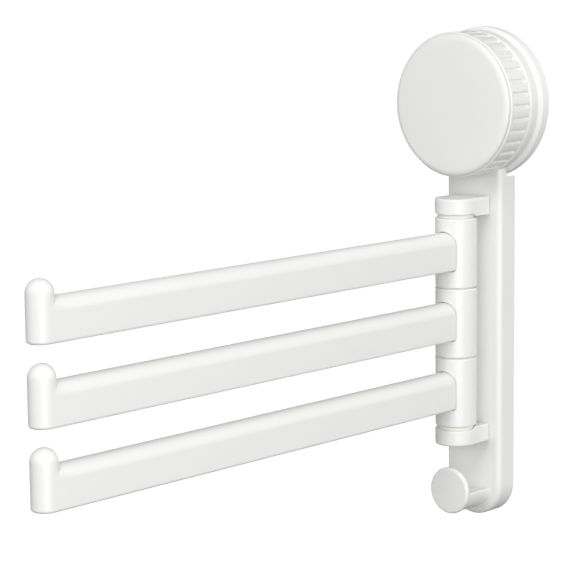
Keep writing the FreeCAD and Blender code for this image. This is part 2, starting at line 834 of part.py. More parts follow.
def make_arm(name, cell_down):
    """Hollow arm from the bottom of its socket to the seam of its end piece."""
    body = start_body(name)
    start = barrel_radius - socket_depth
    section = start_sketch(body, name + "_section", "XZ_Plane", start)
    arm_outline(section, 0)
    arm_outline(section, arm_wall)
    pad(body, section, arm_reach - tip_length - start)
    place(body, y=-hinge_out, z=-cell_down)
    return body


def make_tip(name, cell_down):
    """End piece: an upright post with a domed top, a short stretch of arm and a plug inside the arm."""
    body = start_body(name)
    post = start_sketch(body, name + "_post", "XZ_Plane", arm_reach)
    top = arm_top + post_rise
    draw(
        post,
        (0, arm_rise),
        corner_arc(arm_half, arm_rise, -1, 0, 0, 1, arm_edge),
        (arm_half, arm_rise + arm_edge),
        corner_arc(arm_half, top, 0, -1, -1, 0, arm_half),
        (0, top),
    )
    revolve(body, post)

    shank = start_sketch(body, name + "_shank", "XZ_Plane", arm_reach - tip_length)
    arm_outline(shank, 0)
    pad(body, shank, tip_length)

    plug = start_sketch(body, name + "_plug", "XZ_Plane", arm_reach - tip_length - tip_plug)
    arm_outline(plug, arm_wall + tenon_gap)
    pad(body, plug, tip_plug + tip_length / 2)
    place(body, y=-hinge_out, z=-cell_down)
    return body


# ---- hook and screws ----


def make_hook():
    """Round disc in front of a half-round shelf, about an axis through the disc's centre."""
    body = start_body("towel_hook")
    front_out = plate_out + hook_reach
    back_out = front_out - hook_disc
    disc = start_sketch(body, "disc", "XY_Plane")
    draw(
        disc,
        (0, -back_out),
        (hook_radius, -back_out),
        corner_arc(hook_radius, -front_out, 0, 1, -1, 0, hook_round),
        (hook_radius - hook_round, -front_out),
        (0, -front_out),
    )
    revolve(body, disc)

    shelf = start_sketch(body, "shelf", "XZ_Plane", plate_out)
    draw(
        shelf,
        (shelf_radius, 0, 0, -hook_dip),
        (-shelf_radius, 0, 0, -shelf_radius),
    )
    pad(body, shelf, hook_reach - hook_disc / 2)

    pilot = start_sketch(body, "hook_pilot", "XZ_Plane", plate_out)
    draw_circle(pilot, 0, -(shelf_radius + hook_dip) / 2, screw_radius + screw_seat)
    pocket(body, pilot, screw_bite + pilot_spare, along_normal=True)
    place(body, z=-hook_down)
    return body


def make_screw(name, across, down):
    """Pan-head self-tapping screw. Its head bears on the inside of the plate's front wall."""
    body = start_body(name)
    profile = start_sketch(body, name + "_profile", "XY_Plane")
    length = plate_wall + screw_bite
    head = screw_radius + screw_head
    draw(
        profile,
        (0, screw_head_height),
        corner_arc(head, screw_head_height, -1, 0, 0, -1, screw_head_round),
        (head, screw_head_height - screw_head_round),
        (head, 0),
        (screw_radius, 0),
        (screw_radius, screw_radius - length),
        (0, -length),
    )
    revolve(body, profile)
    recess = start_sketch(body, name + "_recess", "XZ_Plane", -screw_head_height)
    half, reach = recess_width / 2, screw_radius
    draw(
        recess,
        (reach, half), (half, half), (half, reach), (-half, reach), (-half, half), (-reach, half),
        (-reach, -half), (-half, -half), (-half, -reach), (half, -reach), (half, -half), (reach, -half),
    )
    pocket(body, recess, recess_sink, along_normal=True)
    place(body, x=across, y=-screw_seat_out, z=-down)
    return body


def make_screws():
    screws = [make_screw(f"screw_{i + 1}", *where) for i, where in enumerate(screw_places())]
    return group("plate_screws", screws)


# ---- build, check and write ----


def make_arms():
    pieces = []
    for i, name in enumerate(("top", "middle", "bottom")):
        cell_down = stack_down + pitch * (i + 1)
        pieces += [
            make_knuckle(f"knuckle_{name}", cell_down),
            make_arm(f"arm_{name}", cell_down),
            make_tip(f"tip_{name}", cell_down),
        ]
    return pieces


subparts = [
    make_wall_plate(),
    make_suction_cup(),
    make_cup_stud(),
    make_thrust_washer(),
    make_knob_grip(),
    make_knob_nut(),
    make_knob_cap(),
    make_ear("upper_ear", upper=True),
    make_ear("lower_ear", upper=False),
    make_hinge_pin(),
    make_pin_plug(),
    *make_washers(),
    *make_arms(),
    make_hook(),
    make_screws(),
]
doc.recompute()

for item in doc.Objects:
    if "Invalid" in item.State or "Error" in item.State:
        raise RuntimeError(f"{item.Label} failed: {item.State}")
for item in subparts:
    if item.Shape.isNull() or not item.Shape.isValid() or not item.Shape.Solids:
        raise RuntimeError(f"{item.Label} has no valid solid")

os.makedirs("parts", exist_ok=True)
for item in subparts:
    item.Shape.exportStep(f"parts/{item.Label}.step")
    print(f"{item.Label}: {len(item.Shape.Solids)} solid(s), {item.Shape.Volume / 1000:.2f} cm3")
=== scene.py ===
from math import atan2, cos, hypot, pi, radians, sin, sqrt, tan
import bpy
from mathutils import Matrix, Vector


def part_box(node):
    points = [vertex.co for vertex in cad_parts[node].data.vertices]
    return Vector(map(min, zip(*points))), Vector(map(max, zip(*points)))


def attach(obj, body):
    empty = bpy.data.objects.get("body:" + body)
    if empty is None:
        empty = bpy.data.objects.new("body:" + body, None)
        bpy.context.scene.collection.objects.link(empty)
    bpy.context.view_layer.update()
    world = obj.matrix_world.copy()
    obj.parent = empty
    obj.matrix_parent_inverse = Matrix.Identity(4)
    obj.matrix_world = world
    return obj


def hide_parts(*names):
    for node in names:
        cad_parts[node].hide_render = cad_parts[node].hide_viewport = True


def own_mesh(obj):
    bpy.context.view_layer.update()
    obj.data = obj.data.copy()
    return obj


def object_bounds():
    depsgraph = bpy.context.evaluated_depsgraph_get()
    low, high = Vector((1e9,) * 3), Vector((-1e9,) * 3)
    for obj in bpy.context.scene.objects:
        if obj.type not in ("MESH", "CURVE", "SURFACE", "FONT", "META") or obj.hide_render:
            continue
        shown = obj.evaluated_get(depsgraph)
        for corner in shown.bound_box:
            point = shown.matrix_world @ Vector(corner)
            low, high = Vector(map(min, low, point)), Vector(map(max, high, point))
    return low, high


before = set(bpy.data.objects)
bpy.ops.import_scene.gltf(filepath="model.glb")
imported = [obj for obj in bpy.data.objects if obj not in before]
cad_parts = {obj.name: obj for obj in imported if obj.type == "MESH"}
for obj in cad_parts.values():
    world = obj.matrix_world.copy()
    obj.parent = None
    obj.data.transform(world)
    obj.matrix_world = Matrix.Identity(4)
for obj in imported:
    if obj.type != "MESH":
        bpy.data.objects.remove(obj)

from types import SimpleNamespace

import bmesh
import bpy
from bpy.props import FloatProperty, FloatVectorProperty, IntProperty, PointerProperty
from bpy.types import NodeSocket, Operator, Panel, PropertyGroup, Scene
from mathutils import Matrix, Vector

bl_info = {
    "name": "Swing Arm Towel Bar",
    "version": (1, 0, 0),
    "blender": (4, 5, 0),
    "location": "View3D > Sidebar > Towel Bar",
    "description": "Builds the moulded pieces of a wall-held towel bar round its CAD model",
    "category": "Object",
}

# Lengths are in metres. The wall is the plane Y = 0, the room is on its -Y side and +Z is up.
# "Out" is a distance from the wall, so a point that is 14 mm out has y = -0.014.

MM = 0.001
CAD_LOW, CAD_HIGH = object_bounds()
ARMS = ("top", "middle", "bottom")


def cad_points(node, keep):
    """The points of a CAD node that pass a test."""
    return [v.co.copy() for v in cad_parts[node].data.vertices if keep(v.co)]


# ---- places and sizes read from the CAD model ----

plate_low, plate_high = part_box("wall_plate")
cup_low, cup_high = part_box("suction_cup")
cap_low, cap_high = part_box("knob_cap")
nut_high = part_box("knob_nut")[1]
ear_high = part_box("upper_ear")[1]
washer_low, washer_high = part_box("ear_washers")
plug_low, plug_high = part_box("pin_plug")
hook_low, hook_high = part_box("towel_hook")

COLLAR_RADIUS = plate_high.x
COLLAR_OUT = -plate_low.y
PLATE_HALF = max(p.x for p in cad_points("wall_plate", lambda p: p.z < -0.1))
PLATE_END = plate_low.z
PLATE_OUT = -ear_high.y
CUP_RADIUS = cup_high.x
CUP_FRONT_OUT = -cup_low.y
GRIP_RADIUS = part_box("knob_grip")[1].x
CAP_RADIUS = cap_high.x
CAP_FRONT_OUT = -cap_low.y
HINGE_Y = (washer_low.y + washer_high.y) / 2
PIN_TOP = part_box("hinge_pin")[1].z
BARREL_RADIUS = ear_high.x
EAR_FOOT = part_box("lower_ear")[0].z
HOOK_RADIUS = hook_high.x
HOOK_MIDDLE = (hook_low.z + hook_high.z) / 2
HOOK_FRONT_OUT = -hook_low.y

# ---- sizes inside the CAD model, which its boxes don't show ----

PLATE_WALL = 2.4 * MM
PLATE_TOP = -13 * MM
RIB_WALL = 1.6 * MM
COLLAR_WALL = 3 * MM
COLLAR_WEB = 2.8 * MM
COLLAR_BACK_OUT = 9 * MM
CUP_WALL = 2.2 * MM
CUP_LIFT = 3.2 * MM
GRIP_GAP = 0.4 * MM
GRIP_WALL = 2.4 * MM
HUB_WALL = 3 * MM
CAP_DEPTH = 2.9 * MM
CAP_GROOVE = 0.45 * MM
SPIGOT_WALL = 1.8 * MM
EAR_BORE = 4.02 * MM
EAR_SEAM = 0.5 * MM
BARREL_BORE = 4.06 * MM
SOCKET_GAP = 0.2 * MM
HOOK_DISC = 3 * MM
SCREW_HEAD = 1.8 * MM


# ---- what a user may change ----


def length(name, description, millimetres, high=1.0):
    return FloatProperty(
        name=name, description=description, default=millimetres * MM, min=0, max=high,
        subtype="DISTANCE", unit="LENGTH", precision=5,
    )


def colour(name, description, default):
    return FloatVectorProperty(
        name=name, description=description, default=default, size=3, min=0, max=1, subtype="COLOR",
    )


def power(name, description, default):
    return FloatProperty(name=name, description=description, default=default, min=0, unit="POWER")


class TowelBarSizes(PropertyGroup):
    plate_round: length("Plate Rounding", "Rounding of the plate's front edges", 3.0)
    moulded_edge: length("Moulded Edge", "Small rounding on the plate's back edges", 0.4)
    cap_round: length("Cap Rounding", "Rounding of the knob's face", 1.8)
    cap_reach: length("Cap Reach", "How far the rounding reaches in from the rim", 3.6)
    cap_crown: length("Cap Crown", "How far the knob's face is crowned", 0.7)
    flute_count: IntProperty(name="Flutes", description="Flutes round the knob", default=36, min=12, max=60)
    flute_width: length("Flute Width", "Width of a flute", 2.3)
    flute_depth: length("Flute Depth", "Depth of a flute", 1.5)
    land_crown: length("Land Crown", "Fall of the lands towards the flutes", 0.28)
    rib_count: IntProperty(name="Ribs", description="Ribs inside the plate", default=6, min=1, max=12)
    ear_round: length("Ear Rounding", "Rounding of the ears' edges", 1.2)
    barrel_round: length("Barrel Rounding", "Rounding of the barrels' ends", 0.9)
    mouth_round: length("Mouth Rounding", "Rounding where an arm enters its barrel", 1.2)
    arm_edge: length("Arm Edge", "Rounding of an arm's lower edges", 1.6)
    hook_round: length("Hook Rounding", "Rounding of the hook's disc", 1.5)
    hook_dip: length("Hook Dip", "Hollow in the top of the hook's shelf", 2.4)


class TowelBarColours(PropertyGroup):
    plastic: colour("Plastic", "Glossy moulded plastic", (0.88, 0.884, 0.83))
    cup: colour("Cup", "Soft suction cup", (0.88, 0.88, 0.87))
    # The nylon is made darker than the white plastic as painted shade: the washers sit in the shadowed gaps
    # under the ears.
    nylon: colour("Nylon", "Washers", (0.79, 0.785, 0.76))
    steel: colour("Steel", "Hinge pin and screws", (0.62, 0.62, 0.63))
    brass: colour("Brass", "Nut in the knob", (0.78, 0.62, 0.33))
    floor: colour("Floor", "Studio floor", (1.0, 1.0, 1.0))


class TowelBarStudio(PropertyGroup):
    floor_drop: length("Floor Drop", "Floor below the object's lowest point", 500, high=5.0)
    ambient: FloatProperty(name="Ambient", description="Light from the horizon", default=1.36, min=0)
    key_power: power("Key", "Power of the softbox by the camera", 14.0)
    top_power: power("Top", "Power of the high front softbox", 10.0)
    back_power: power("Back", "Power of the low softbox behind the left side", 9.0)


# ---- outlines ----


def rounded(corners, steps=6):
    """A closed outline of corners: (x, y), or (x, y, radius) for a rounded one."""
    path = []
    for i, (x, y, *given) in enumerate(corners):
        here = Vector((x, y))
        radius = given[0] if given else 0
        if radius <= 0:
            path.append(here)
            continue
        back = (Vector(corners[i - 1][:2]) - here).normalized()
        ahead = (Vector(corners[(i + 1) % len(corners)][:2]) - here).normalized()
        half = back.angle(ahead) / 2
        centre = here + (back + ahead).normalized() * radius / sin(half)
        spoke = here + back * radius / tan(half) - centre
        turn = spoke.angle_signed(here + ahead * radius / tan(half) - centre)
        path += [centre + Matrix.Rotation(-turn * t, 2) @ spoke for t in shares(steps)]
    return path


def shares(steps):
    """Equal steps from 0 to 1."""
    return [k / steps for k in range(steps + 1)]


def arc(middle, radius, start, finish, steps):
    """Points on an arc, from one angle in degrees to another."""
    angles = [radians(start + (finish - start) * t) for t in shares(steps)]
    return [Vector((middle[0] + radius * cos(a), middle[1] + radius * sin(a))) for a in angles]


def quarter(steps):
    """Angles from 0 to a quarter turn."""
    return [pi / 2 * t for t in shares(steps)]


def ease(t):
    """A soft step from 0 to 1."""
    return t * t * (3 - 2 * t)


def bent(start, through, finish, t):
    """A point on the curve from start to finish that bends towards a third point."""
    return (1 - t) ** 2 * start + 2 * t * (1 - t) * through + t * t * finish


def round_over(radius, steps):
    """Depths and insets of the points on a rounded edge, from the face to the side."""
    return [(radius * (1 - cos(a)), radius * (1 - sin(a))) for a in quarter(steps)]


def slab_levels(depth, first_round, last_round, steps):
    """Distances through a slab and insets of its outline, with its first and last edge rounded."""
    last = [(depth - inset, deep) for deep, inset in round_over(last_round, 8)]
    return round_over(first_round, steps) + last


# ---- meshes ----


def linked(name, mesh):
    """A new object at the origin that holds a mesh."""
    made = bpy.data.objects.new(name, mesh)
    bpy.context.scene.collection.objects.link(made)
    return made


def store_outwards(build, mesh):
    """Turns the faces of a bmesh outwards and writes it to a mesh."""
    bmesh.ops.recalc_face_normals(build, faces=build.faces)
    build.to_mesh(mesh)
    build.free()


def mesh_object(name, points, faces):
    """A closed mesh with its doubles merged and its faces outwards, in an object at the origin."""
    build = bmesh.new()
    verts = [build.verts.new(p) for p in points]
    for face in faces:
        corners = [verts[i] for i in dict.fromkeys(face)]
        if len(corners) > 2 and not build.faces.get(corners):
            build.faces.new(corners)
    bmesh.ops.remove_doubles(build, verts=build.verts, dist=1e-7)
    bmesh.ops.dissolve_degenerate(build, edges=build.edges, dist=1e-8)
    mesh = bpy.data.meshes.new(name)
    store_outwards(build, mesh)
    return linked(name, mesh)


def between(rows, closed=True):
    """Four-sided faces between each row of corners and the next."""
    faces = []
    for near, far in zip(rows, rows[1:]):
        for k in range(len(near) if closed else len(near) - 1):
            n = (k + 1) % len(near)
            faces.append((near[k], near[n], far[n], far[k]))
    return faces


def turned(name, outline, steps=160, axis="Y", centre=(0, 0, 0)):
    """Turns a closed outline of (radius, along) round an axis. Along is a distance out for the Y axis."""
    points, rings = [], []
    for radius, along in outline:
        corners = steps if radius > 1e-9 else 1
        rings.append([len(points) + k % corners for k in range(steps)])
        points += [spun(radius, along, 2 * pi * k / steps, axis, centre) for k in range(corners)]
    return mesh_object(name, points, between([*rings, rings[0]]))


def spun(radius, along, angle, axis, centre):
    """A point at an angle round the Y or Z axis through a centre."""
    across, up = radius * cos(angle), radius * sin(angle)
    point = Vector((across, -along, up)) if axis == "Y" else Vector((across, up, along))
    return point + Vector(centre)


def stacked(name, loops, ends=True):
    """Joins loops of equal length into a solid, with a face on each end or open there."""
    count = len(loops[0])
    rows = [range(count * level, count * (level + 1)) for level in range(len(loops))]
    points = [p for loop in loops for p in loop]
    return mesh_object(name, points, [*(rows[::len(rows) - 1] if ends else ()), *between(rows)])


def slab(name, outline, *outs):
    """A solid with one upright outline of (x, z), from one distance out to another."""
    return stacked(name, [[(x, -out, z) for x, z in outline] for out in outs])


def combined(base, *others, operation="UNION"):
    """Joins solids to the base, or cuts them from it, and removes them."""
    for other in others:
        modifier = base.modifiers.new("combine", "BOOLEAN")
        modifier.operation = operation
        modifier.solver = "EXACT"
        modifier.object = other
        plain(base)
        bpy.data.objects.remove(other)
    return base


def plain(item):
    """Turns an object with modifiers into a plain mesh."""
    bpy.context.view_layer.update()
    seen = item.evaluated_get(bpy.context.evaluated_depsgraph_get())
    mesh = bpy.data.meshes.new_from_object(seen)
    item.modifiers.clear()
    item.data = mesh
    mesh.name = item.name


def finished(item, *nodes, body="wall_unit", slot="gloss_white", sharp=32):
    """Smooths a piece, gives it its finish and lets it ride on its body in place of its CAD nodes."""
    mesh = item.data
    mesh.materials.clear()
    mesh.materials.append(finish_of(slot))
    mesh.shade_smooth()
    mesh.set_sharp_from_angle(angle=radians(sharp))
    weights = item.modifiers.new("even_shading", "WEIGHTED_NORMAL")
    weights.keep_sharp = True
    weights.weight = 60
    plain(item)
    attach(item, body)
    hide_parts(*nodes)


# ---- node trees ----


class Tree:
    """A node tree with one method for nodes. Links come from sockets and values from numbers."""

    family = "ShaderNode"

    def __init__(self, tree):
        self.tree = tree

    def node(self, kind, settings=None, **inputs):
        made = self.tree.nodes.new(self.family + kind)
        for name, value in (settings or {}).items():
            setattr(made, name, value)
        for name, value in inputs.items():
            self.feed(self.socket(made, name), value)
        return made

    def socket(self, node, name):
        if name.startswith("in_"):
            return node.inputs[int(name[3:])]
        wanted = name.replace("_", " ").lower()
        return next(s for s in node.inputs if s.name.lower() == wanted and s.enabled)

    def feed(self, socket, value):
        if isinstance(value, Field):
            value = value.socket
        if isinstance(value, NodeSocket):
            self.tree.links.new(value, socket)
        else:
            socket.default_value = value

    def field(self, kind, output=0, settings=None, **inputs):
        return Field(self.tree, self.node(kind, settings, **inputs).outputs[output])


class Field:
    """An output in a node tree. Sums and products of fields add Math nodes, a kind of shader node."""

    def __init__(self, tree, socket):
        self.tree = tree
        self.socket = socket

    def maths(self, operation, first, second):
        return Tree(self.tree).field("Math", 0, {"operation": operation}, in_0=first, in_1=second)

    def __add__(self, other):
        return self.maths("ADD", self, other)

    def __rsub__(self, other):
        return self.maths("SUBTRACT", other, self)

    def __mul__(self, other):
        return self.maths("MULTIPLY", self, other)

    def __rtruediv__(self, other):
        return self.maths("DIVIDE", other, self)

    __radd__ = __add__
    __rmul__ = __mul__


def emptied(item):
    """The node tree of a new material or world, without its nodes."""
    item.use_nodes = True
    item.node_tree.nodes.clear()
    return Tree(item.node_tree)


# ---- finishes ----


def cloud(tree, scale, detail=3.0, rough=0.5):
    """Soft noise from 0 to 1, with about scale patches to a metre."""
    return tree.field("TexNoise", Vector=tree.place, Scale=scale, Detail=detail, Roughness=rough)


def shade(base, factor):
    return tuple(min(1.0, c * factor) for c in base)


def tinted(tree, mask, base, low, high):
    """The base colour, made darker and lighter by a mask."""
    ends = {"in_6": (*shade(base, low), 1), "in_7": (*shade(base, high), 1)}
    return tree.node("Mix", {"data_type": "RGBA"}, in_0=mask, **ends).outputs[2]


def bumped(tree, height, millimetres, strength):
    return tree.field("Bump", Strength=strength, Distance=millimetres * MM, Height=height)


def gloss_plastic(tree, base):
    """Glossy moulded plastic: faint flow marks in the colour, and the ripple of a polished mould."""
    flow, speck = cloud(tree, 14, 2), cloud(tree, 900, 2)
    ripple, grain = cloud(tree, 260, 2, 0.4), cloud(tree, 5200, 2)
    return {
        "Base_Color": tinted(tree, flow * 0.7 + speck * 0.3, base, 0.985, 1.015),
        "Roughness": 0.12 + cloud(tree, 55) * 0.06 + speck * 0.02,
        "Normal": bumped(tree, ripple + grain * 0.12, 0.012, 0.6),
        "IOR": 1.5,
        "Specular_IOR_Level": 0.6,
    }


def satin_plastic(tree, base, rough, wax=0.0):
    """Satin plastic of a hidden piece: an eroded mould's fine grain."""
    grain = cloud(tree, 3800)
    return {
        "Base_Color": tinted(tree, cloud(tree, 40), base, 0.96, 1.02),
        "Roughness": rough + grain * 0.1,
        "Normal": bumped(tree, grain, 0.02, 0.7),
        "Subsurface_Weight": wax,
        "Subsurface_Radius": (1, 1, 1),
        "Subsurface_Scale": 0.6 * MM,
    }


def soft_cup(tree, base):
    """Soft cup: satin, with a bloom in patches and fine dust in its skin."""
    bloom, skin = cloud(tree, 70, 4), cloud(tree, 1500)
    return {
        "Base_Color": tinted(tree, bloom, base, 0.97, 1.01),
        "Roughness": 0.30 + bloom * 0.1 + skin * 0.05,
        "Normal": bumped(tree, skin, 0.01, 0.5),
    }


def turned_metal(tree, base, axis, rough):
    """Metal with the fine rings that a lathe leaves round one axis."""
    along = tree.node("SeparateXYZ", Vector=tree.place).outputs[axis]
    rings = tree.field("TexNoise", 0, {"noise_dimensions": "1D"}, W=along, Scale=9000, Detail=3)
    stain = cloud(tree, 180, 4)
    return {
        "Base_Color": tinted(tree, stain, base, 0.9, 1.05),
        "Roughness": rough + rings * 0.12 + stain * 0.06,
        "Normal": bumped(tree, rings, 0.008, 0.8),
        "Metallic": 1.0,
    }


def finish_of(slot):
    """Makes the material of a slot once and returns it after that."""
    found = bpy.data.materials.get(slot)
    if found:
        return found
    colours = bpy.context.scene.towel_bar_colours
    maker, *values = {
        "gloss_white": (gloss_plastic, colours.plastic),
        "cup_white": (soft_cup, colours.cup),
        "moulded_white": (satin_plastic, shade(colours.plastic, 0.98), 0.38),
        # The nylon tone of the washers carries painted shade for the shadowed gaps under the ears.
        "nylon": (satin_plastic, colours.nylon, 0.42, 0.2),
        "steel": (turned_metal, colours.steel, 2, 0.22),
        "brass": (turned_metal, colours.brass, 1, 0.26),
    }[slot]
    material = bpy.data.materials.new(slot)
    tree = emptied(material)
    tree.place = tree.node("TexCoord").outputs["Object"]
    shader = tree.node("BsdfPrincipled", **maker(tree, *values))
    tree.node("OutputMaterial", Surface=shader.outputs["BSDF"])
    return material


def dress_node(node, slot):
    """Gives a CAD node that stays in view its finish."""
    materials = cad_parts[node].data.materials
    materials.clear()
    materials.append(finish_of(slot))


# ---- geometry nodes ----


class Recipe(Tree):
    """A Geometry Nodes tree with named inputs."""

    family = "GeometryNode"

    def __init__(self, name, **inputs):
        super().__init__(bpy.data.node_groups.new(name, "GeometryNodeTree"))
        face = self.tree.interface
        for label, kind in {"Geometry": "Geometry", **inputs}.items():
            face.new_socket(label, in_out="INPUT", socket_type="NodeSocket" + kind)
        face.new_socket("Geometry", in_out="OUTPUT", socket_type="NodeSocketGeometry")
        outputs = self.tree.nodes.new("NodeGroupInput").outputs
        self.given = {socket.name: Field(self.tree, socket) for socket in outputs}

    def vector(self, **parts):
        return Tree(self.tree).field("CombineXYZ", **parts)

    def line(self, step):
        """As many points as Count says, each a step from the last."""
        count = self.given["Count"]
        return self.field("MeshLine", 0, {"mode": "OFFSET"}, Count=count, Offset=step)

    def copies(self, spots, piece, **placing):
        """Sets a copy of a piece on each spot and ends the tree."""
        return self.end(self.field("InstanceOnPoints", Points=spots, Instance=piece, **placing))

    def end(self, geometry):
        """Makes the instances real and merges their shared edges."""
        real = self.field("RealizeInstances", Geometry=geometry)
        merged = self.field("MergeByDistance", Geometry=real, Distance=1e-6)
        self.feed(self.tree.nodes.new("NodeGroupOutput").inputs[0], merged)
        return self

    def grow(self, item, **values):
        """Runs the tree on an object with these inputs and leaves a plain mesh."""
        modifier = item.modifiers.new("recipe", "NODES")
        modifier.node_group = self.tree
        for socket in self.tree.interface.items_tree:
            if socket.in_out == "INPUT" and socket.name in values:
                modifier[socket.identifier] = values[socket.name]
        plain(item)


def ring_recipe():
    """Sets copies of a sector round the knob's axis, so that they close a ring."""
    recipe = Recipe("ring_of_sectors", Count="Int")
    turn = recipe.field("InputIndex") * (2 * pi / recipe.given["Count"])
    return recipe.copies(recipe.line((0, 0, 0)), recipe.given["Geometry"], Rotation=recipe.vector(y=turn))


def row_recipe():
    """Sets copies of a piece in a row, each a step below the last."""
    recipe = Recipe("row_of_pieces", Count="Int", Step="Float")
    step = recipe.vector(z=recipe.given["Step"] * -1.0)
    return recipe.copies(recipe.line(step), recipe.given["Geometry"])


def spots_recipe():
    """Sets a copy of a piece on each point of the mesh."""
    recipe = Recipe("pieces_on_points", Piece="Object")
    settings = {"transform_space": "ORIGINAL"}
    piece = recipe.node("ObjectInfo", settings, Object=recipe.given["Piece"])
    return recipe.copies(recipe.given["Geometry"], piece.outputs["Geometry"])


def sweep_recipe():
    """Draws a closed section out along -Y, from one distance to another, and closes its ends."""
    recipe = Recipe("swept_section", Start="Float", End="Float", Cuts="Int")
    section = recipe.field("MeshToCurve", Mesh=recipe.given["Geometry"])
    start, end = [recipe.vector(y=recipe.given[name] * -1.0) for name in ("Start", "End")]
    path = recipe.field("CurvePrimitiveLine", 0, {"mode": "POINTS"}, Start=start, End=end)
    path = recipe.field("ResampleCurve", Curve=path, Count=recipe.given["Cuts"])
    swept = recipe.field("CurveToMesh", Curve=path, Profile_Curve=section, Fill_Caps=True)
    return recipe.end(swept)


# ---- wall plate ----


def plate_outline(inset, top, steps=48):
    """The plate seen from the front, drawn in by an inset: square at the top, half round at the bottom."""
    half = PLATE_HALF - inset
    return [(half, top), *arc((0, PLATE_END + PLATE_HALF), half, 0, -180, steps), (-half, top)]


class TOWELBAR_OT_wall_plate(Operator):
    """Long hollow plate and round collar, one moulding with ribs inside"""

    bl_idname = "towelbar.wall_plate"
    bl_label = "Wall Plate"

    def execute(self, context):
        sizes = context.scene.towel_bar_sizes
        bar = stacked("wall_plate_moulding", [
            [(x, -out, z) for x, z in plate_outline(inset, PLATE_TOP)]
            for out, inset in slab_levels(PLATE_OUT, sizes.moulded_edge, sizes.plate_round, 4)
        ])
        hollow_top = -CUP_RADIUS - 4.9 * MM
        inside = plate_outline(PLATE_WALL, hollow_top, steps=40)
        hollow = slab("hollow", inside, -1 * MM, PLATE_OUT - PLATE_WALL)
        combined(bar, self.cup_room(), hollow, operation="DIFFERENCE")
        combined(bar, self.collar())
        neck = 7.15 * MM
        square = [(neck, neck), (-neck, neck), (-neck, -neck), (neck, -neck)]
        combined(bar, slab("neck_hole", square, 8 * MM, 17 * MM), operation="DIFFERENCE")
        finished(bar, "wall_plate", sharp=28)
        self.make_ribs(sizes)
        return {"FINISHED"}

    def cup_room(self):
        """The room that the plate leaves for the cup, with a step at the cup's front."""
        back, step, front = -1 * MM, 7.7 * MM, COLLAR_BACK_OUT
        wide, narrow = CUP_RADIUS + 2.5 * MM, CUP_RADIUS + 0.5 * MM
        return turned("cup_room", rounded([
            (0, back), (wide, back), (wide, step, 0.8 * MM),
            (narrow, step), (narrow, front), (0, front),
        ]), steps=220)

    def collar(self):
        """Skirt and front wall round the stud, with a boss behind its square hole."""
        side, inner, web = COLLAR_RADIUS, COLLAR_RADIUS - COLLAR_WALL, COLLAR_OUT - COLLAR_WEB
        boss, boss_back = 13.1 * MM, COLLAR_BACK_OUT + 0.5 * MM
        return turned("collar", rounded([
            (0, COLLAR_OUT), (side, COLLAR_OUT, 1.5 * MM), (side, COLLAR_BACK_OUT, 0.35 * MM),
            (inner, COLLAR_BACK_OUT, 0.3 * MM), (inner, web, 0.5 * MM),
            (boss, web), (boss, boss_back), (0, boss_back),
        ]), steps=220)

    def make_ribs(self, sizes):
        """Ribs inside the plate, behind the swing arms, that sink a little into its walls."""
        sunk = PLATE_WALL - 0.1 * MM
        half, front = PLATE_HALF - sunk, PLATE_OUT - sunk
        stack_top = washer_high.z + 0.05 * MM
        step = (stack_top - washer_low.z) / sizes.rib_count
        upper = stack_top - step / 2
        lower, back, edge = upper - RIB_WALL, 1 * MM, 0.35 * MM
        section = rounded([(back, upper, edge), (back, lower, edge), (front, lower), (front, upper)], 3)
        rib = stacked("plate_ribs", [[(x, -out, z) for out, z in section] for x in (-half, half)])
        row_recipe().grow(rib, Count=sizes.rib_count, Step=step)
        finished(rib, "wall_plate")


# ---- suction cup ----


class TOWELBAR_OT_suction_cup(Operator):
    """Soft cup: a thick rim round a thin middle, built lifted towards the stud; on the real cup it goes
    flat when the knob is loosened
    """

    bl_idname = "towelbar.suction_cup"
    bl_label = "Suction Cup"

    def execute(self, context):
        inside = CUP_RADIUS - 8 * MM
        self.make_rim(inside)
        self.make_middle(inside)
        return {"FINISHED"}

    def make_rim(self, inside):
        seat, step_out, edge = COLLAR_RADIUS - 1.5 * MM, 8.5 * MM, 0.8 * MM
        rim = turned("cup_rim", rounded([
            (inside, 0), (CUP_RADIUS, 0, 1.6 * MM), (CUP_RADIUS, 6.5 * MM, edge),
            (CUP_RADIUS - 2 * MM, step_out, edge), (seat, step_out),
            (seat, CUP_FRONT_OUT, 0.2 * MM), (inside, CUP_FRONT_OUT, 0.6 * MM),
        ], steps=8), steps=220)
        finished(rim, "suction_cup", slot="cup_white")

    def make_middle(self, inside):
        """The diaphragm rises from the rim to the stud's flange."""
        hub = 12.9 * MM
        back = [(hub + (inside - hub) * t, CUP_LIFT * ease(1 - t)) for t in shares(5)]
        front = [(radius, out + CUP_WALL) for radius, out in back]
        outline = [(0, CUP_LIFT + CUP_WALL), *front, *reversed(back), (0, CUP_LIFT)]
        middle = turned("cup_middle", outline, steps=180)
        finished(middle, "suction_cup", slot="cup_white", sharp=60)
        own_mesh(middle)


# ---- knob ----


def dip_at(across, out, sizes, edge, back, front):
    """Depth of the grip's skin: a flute cut by a ball, with a soft lip, in a land that falls towards it."""
    half, lip_share, lip_depth = sizes.flute_width / 2, 1.12, 0.05
    beyond = max(back + half - out, 0, out - (front - half))
    share = hypot(across, beyond) / half
    if share < 1:
        flute = max(sqrt(1 - share ** 2), lip_depth)
    else:
        flute = lip_depth * (max(0.0, lip_share - share) / (lip_share - 1)) ** 2
    inside = min(1.0, max(0.0, min(out - back, front - out) / MM))
    land = ease(inside) * ((edge - abs(across)) / edge) ** 2
    return sizes.flute_depth * flute + sizes.land_crown * land


